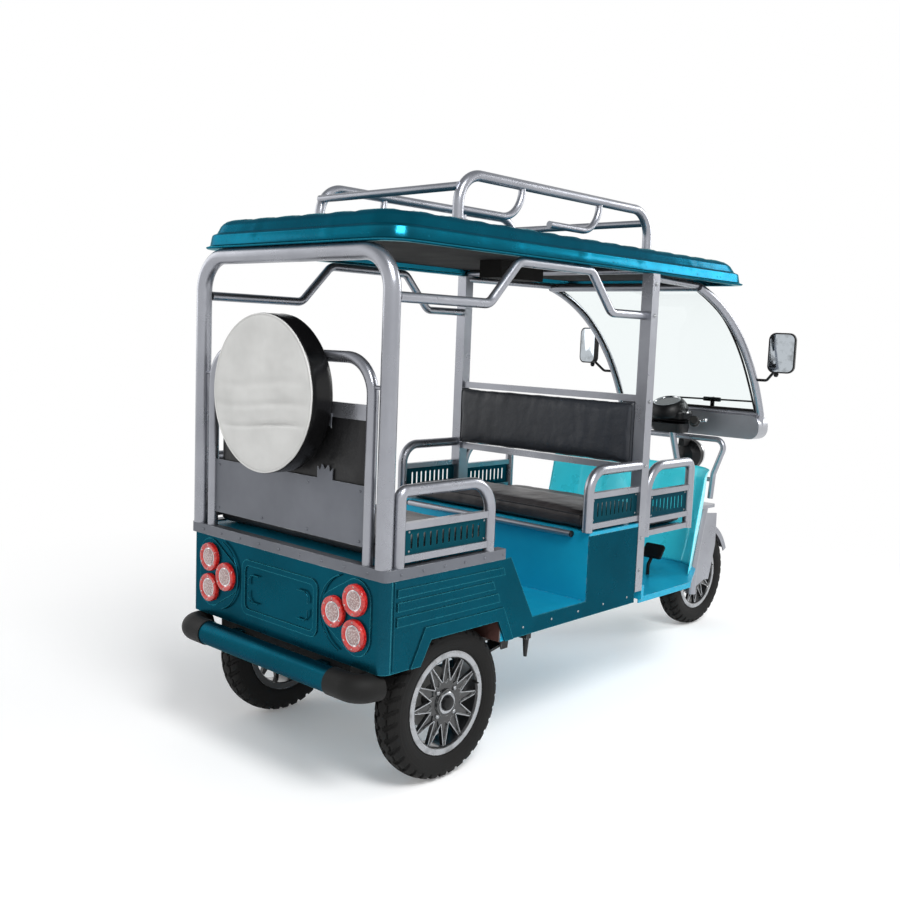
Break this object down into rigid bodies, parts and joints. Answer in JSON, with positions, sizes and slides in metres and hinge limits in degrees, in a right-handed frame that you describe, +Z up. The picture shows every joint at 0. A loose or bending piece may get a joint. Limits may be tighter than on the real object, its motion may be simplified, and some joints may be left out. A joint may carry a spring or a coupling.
{
  "type": "electric passenger rickshaw",
  "caption": "Open-sided electric three-wheeler with facing passenger benches, a driver's seat, a luggage rack on a moulded roof, a steering fork and rolling wheels.",
  "frame": {"origin": "on the ground under the middle of the vehicle's length and width", "axes": "+Y forward along the vehicle, +X to the vehicle's right, +Z up from the ground"},
  "size_m": [1.1142, 2.843, 1.855],
  "materials": {
    "body_teal": "gloss metallic deep teal",
    "bright_teal": "gloss bright teal",
    "tube_silver": "satin silver-grey",
    "rail_grey": "satin grey",
    "roof_grey": "moulded gloss deep teal",
    "lining_dark": "matte dark brown-grey",
    "frame_dark": "satin black",
    "tub_brown": "matte red-brown primer",
    "black_vinyl": "grained black vinyl",
    "cover_white": "soft white vinyl",
    "black_plastic": "matte black",
    "black_rubber": "matte black",
    "lamp_red": "gloss red",
    "casing_grey": "cast, matte",
    "tyre": "matte",
    "alloy": "machined",
    "mudguard_grey": "satin grey",
    "clear_glass": "clear"
  },
  "bodies": {
    "chassis": {"chassis_frame": "frame_dark", "floor_pan": "bright_teal", "rear_panel": "body_teal", "side_panels": "body_teal", "body_rail": "rail_grey", "seat_boxes": "bright_teal", "wheel_tubs": "tub_brown", "rear_hoop": "tube_silver", "roof_frame": "tube_silver", "roof_shell": "roof_grey", "roof_lining": "lining_dark", "roof_rack": "tube_silver", "windscreen_frame": "tube_silver", "windscreen_glass": "clear_glass", "cowl": "rail_grey", "wiper": "black_plastic", "leg_shield": "bright_teal", "headlamp": "black_plastic", "mirrors": "black_plastic", "back_panel": "rail_grey", "back_pad": "black_vinyl", "rear_cushion": "black_vinyl", "bench_cushion": "black_vinyl", "bench_rails": "tube_silver", "divider_pad": "black_vinyl", "driver_cushion": "black_vinyl", "side_guards": "tube_silver", "guard_plates": "body_teal", "spare_cover": "cover_white", "bumper": "body_teal", "bumper_caps": "black_rubber", "tail_lamps": "lamp_red", "rear_axle": "casing_grey", "leaf_springs": "frame_dark", "pedal": "black_rubber"},
    "steering": {"fork": "tube_silver", "mudguard": "mudguard_grey", "handlebar": "frame_dark", "console": "black_plastic"},
    "front_wheel": {"front_tyre": "tyre", "front_rim": "alloy"},
    "rear_wheel_left": {"rear_tyre_left": "tyre", "rear_rim_left": "alloy"},
    "rear_wheel_right": {"rear_tyre_right": "tyre", "rear_rim_right": "alloy"}
  },
  "joints": [
    {"name": "steer", "type": "hinge", "parent": "chassis", "child": "steering", "pos_m": [0, 1.0895, 0.585], "axis": [0, -0.4067, 0.9135], "range_deg": [-35, 35]},
    {"name": "front_wheel_spin", "type": "hinge", "parent": "steering", "child": "front_wheel", "pos_m": [0, 1.1815, 0.24], "axis": [1, 0, 0], "continuous": true},
    {"name": "rear_wheel_left_spin", "type": "hinge", "parent": "chassis", "child": "rear_wheel_left", "pos_m": [-0.386, -1.0185, 0.24], "axis": [1, 0, 0], "continuous": true},
    {"name": "rear_wheel_right_spin", "type": "hinge", "parent": "chassis", "child": "rear_wheel_right", "pos_m": [0.386, -1.0185, 0.24], "axis": [1, 0, 0], "continuous": true}
  ]
}
